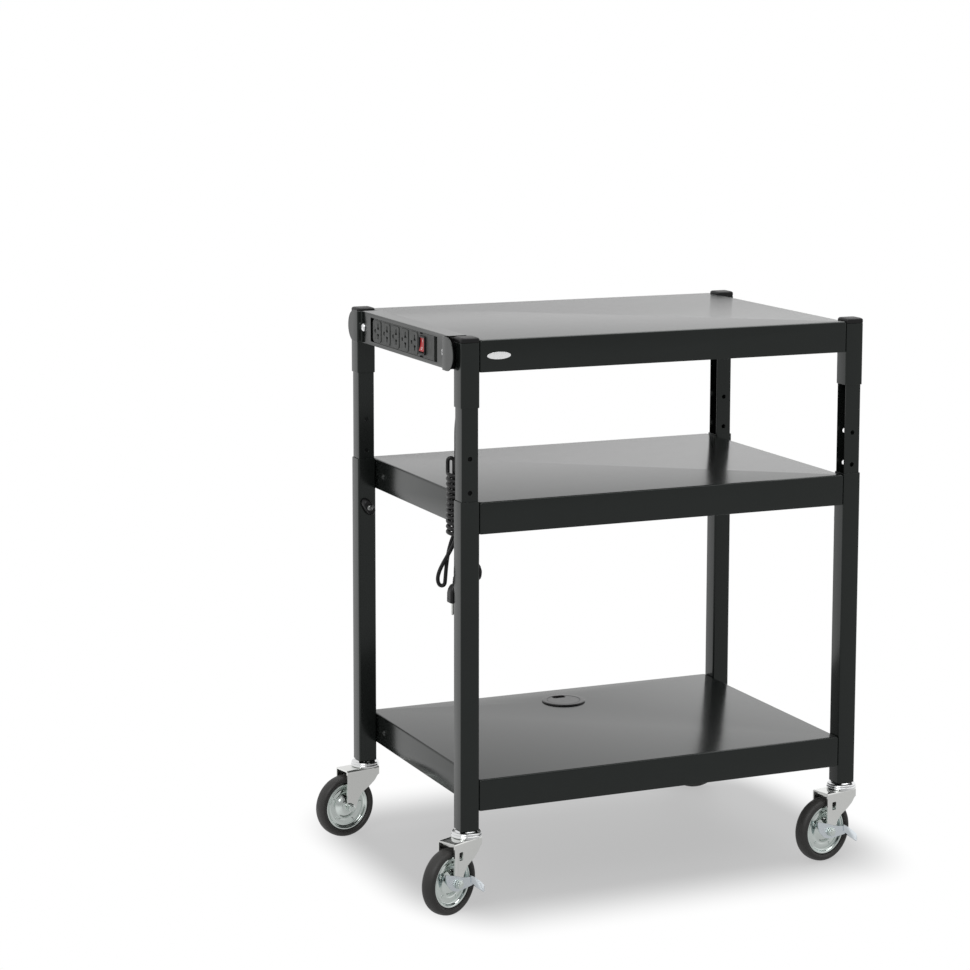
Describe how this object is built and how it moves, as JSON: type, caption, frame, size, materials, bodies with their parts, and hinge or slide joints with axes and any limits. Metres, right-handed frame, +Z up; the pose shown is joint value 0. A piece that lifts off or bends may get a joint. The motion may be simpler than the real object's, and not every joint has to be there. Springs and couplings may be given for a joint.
{
  "type": "height adjustable cart",
  "caption": "Steel utility cart with sheet shelves between telescoping legs, swivel casters with foot brakes, and an outlet housing with a cord on one end.",
  "frame": {"origin": "on the floor under the middle of the cart's footprint, casters included", "axes": "+X to the cart's right end, away from the outlet housing; -Y to the front, where the badge is; +Z up"},
  "size_m": [0.7636, 0.526, 0.8675],
  "materials": {
    "frame_paint": "satin black powder coat",
    "black_plastic": "black, slightly glossy",
    "outlet_plastic": "dark grey, fine grain",
    "red_plastic": "glossy red",
    "zinc_steel": "bright zinc plated",
    "chrome": "polished",
    "tyre_rubber": "dark grey rubber",
    "cord_jacket": "black, satin",
    "badge_metal": "plain satin"
  },
  "bodies": {
    "lower_frame": {"lower_leg_front_left": "frame_paint", "lower_leg_front_right": "frame_paint", "lower_leg_back_left": "frame_paint", "lower_leg_back_right": "frame_paint", "bottom_shelf": "frame_paint", "middle_shelf": "frame_paint", "grommet_liner": "black_plastic", "grommet_cap": "black_plastic", "caster_stem_front_left": "zinc_steel", "caster_stem_front_right": "zinc_steel", "caster_stem_back_left": "zinc_steel", "caster_stem_back_right": "zinc_steel"},
    "upper_frame": {"upper_leg_front_left": "frame_paint", "upper_leg_front_right": "frame_paint", "upper_leg_back_left": "frame_paint", "upper_leg_back_right": "frame_paint", "leg_sleeve_front_left": "frame_paint", "leg_sleeve_front_right": "frame_paint", "leg_sleeve_back_left": "frame_paint", "leg_sleeve_back_right": "frame_paint", "leg_cap_front_left": "black_plastic", "leg_cap_front_right": "black_plastic", "leg_cap_back_left": "black_plastic", "leg_cap_back_right": "black_plastic", "top_shelf": "frame_paint", "badge_plate": "badge_metal", "housing_shell": "frame_paint", "housing_face": "frame_paint", "housing_end_front": "black_plastic", "housing_end_back": "black_plastic", "housing_screw_front": "chrome", "housing_screw_back": "chrome", "outlet_strip": "outlet_plastic", "cord_gland": "black_plastic", "power_cord": "cord_jacket", "cord_hank": "cord_jacket", "power_plug": "cord_jacket"},
    "switch": {"rocker_switch": "red_plastic"},
    "knob_front_left": {"lock_knob_front_left": "black_plastic"},
    "knob_front_right": {"lock_knob_front_right": "black_plastic"},
    "knob_back_left": {"lock_knob_back_left": "black_plastic"},
    "knob_back_right": {"lock_knob_back_right": "black_plastic"},
    "swivel_front_left": {"caster_fork_front_left": "zinc_steel", "axle_bolt_front_left": "zinc_steel"},
    "wheel_front_left": {"wheel_rim_front_left": "zinc_steel", "tyre_front_left": "tyre_rubber"},
    "lever_front_left": {"brake_lever_front_left": "zinc_steel"},
    "swivel_front_right": {"caster_fork_front_right": "zinc_steel", "axle_bolt_front_right": "zinc_steel"},
    "wheel_front_right": {"wheel_rim_front_right": "zinc_steel", "tyre_front_right": "tyre_rubber"},
    "lever_front_right": {"brake_lever_front_right": "zinc_steel"},
    "swivel_back_left": {"caster_fork_back_left": "zinc_steel", "axle_bolt_back_left": "zinc_steel"},
    "wheel_back_left": {"wheel_rim_back_left": "zinc_steel", "tyre_back_left": "tyre_rubber"},
    "swivel_back_right": {"caster_fork_back_right": "zinc_steel", "axle_bolt_back_right": "zinc_steel"},
    "wheel_back_right": {"wheel_rim_back_right": "zinc_steel", "tyre_back_right": "tyre_rubber"}
  },
  "joints": [
    {"name": "height_slide", "type": "slide", "parent": "lower_frame", "child": "upper_frame", "axis": [0, 0, 1], "range_m": [-0.134, 0.2214]},
    {"name": "switch_rock", "type": "hinge", "parent": "upper_frame", "child": "switch", "pos_m": [-0.29966, -0.08336, 0.84], "axis": [0, 1, 0], "range_deg": [-14, 0]},
    {"name": "knob_turn_front_left", "type": "hinge", "parent": "lower_frame", "child": "knob_front_left", "pos_m": [-0.30256, -0.21536, 0.515], "axis": [1, 0, 0], "range_deg": [0, 180]},
    {"name": "knob_turn_front_right", "type": "hinge", "parent": "lower_frame", "child": "knob_front_right", "pos_m": [0.35834, -0.20186, 0.545], "axis": [0, 1, 0], "range_deg": [0, 180]},
    {"name": "knob_turn_back_left", "type": "hinge", "parent": "lower_frame", "child": "knob_back_left", "pos_m": [-0.29166, 0.19614, 0.545], "axis": [0, 1, 0], "range_deg": [0, 180]},
    {"name": "knob_turn_back_right", "type": "hinge", "parent": "lower_frame", "child": "knob_back_right", "pos_m": [0.35834, 0.19614, 0.545], "axis": [0, 1, 0], "range_deg": [0, 180]},
    {"name": "swivel_turn_front_left", "type": "hinge", "parent": "lower_frame", "child": "swivel_front_left", "pos_m": [-0.29166, -0.21536, 0.1047], "axis": [0, 0, 1], "continuous": true},
    {"name": "wheel_spin_front_left", "type": "hinge", "parent": "swivel_front_left", "child": "wheel_front_left", "pos_m": [-0.32777, -0.23258, 0.0508], "axis": [0.4305, -0.9026, 0], "continuous": true},
    {"name": "brake_press_front_left", "type": "hinge", "parent": "swivel_front_left", "child": "lever_front_left", "pos_m": [-0.32777, -0.23258, 0.0508], "axis": [0.4305, -0.9026, 0], "range_deg": [-22, 0]},
    {"name": "swivel_turn_front_right", "type": "hinge", "parent": "lower_frame", "child": "swivel_front_right", "pos_m": [0.35834, -0.21536, 0.1047], "axis": [0, 0, 1], "continuous": true},
    {"name": "wheel_spin_front_right", "type": "hinge", "parent": "swivel_front_right", "child": "wheel_front_right", "pos_m": [0.31936, -0.22436, 0.0508], "axis": [0.225, -0.9744, 0], "continuous": true},
    {"name": "brake_press_front_right", "type": "hinge", "parent": "swivel_front_right", "child": "lever_front_right", "pos_m": [0.31936, -0.22436, 0.0508], "axis": [0.225, -0.9744, 0], "range_deg": [-22, 0]},
    {"name": "swivel_turn_back_left", "type": "hinge", "parent": "lower_frame", "child": "swivel_back_left", "pos_m": [-0.29166, 0.20964, 0.1047], "axis": [0, 0, 1], "continuous": true},
    {"name": "wheel_spin_back_left", "type": "hinge", "parent": "swivel_back_left", "child": "wheel_back_left", "pos_m": [-0.33086, 0.20167, 0.0508], "axis": [0.1994, -0.9799, 0], "continuous": true},
    {"name": "swivel_turn_back_right", "type": "hinge", "parent": "lower_frame", "child": "swivel_back_right", "pos_m": [0.35834, 0.20964, 0.1047], "axis": [0, 0, 1], "continuous": true},
    {"name": "wheel_spin_back_right", "type": "hinge", "parent": "swivel_back_right", "child": "wheel_back_right", "pos_m": [0.3237, 0.22964, 0.0508], "axis": [-0.5, -0.866, 0], "continuous": true}
  ]
}
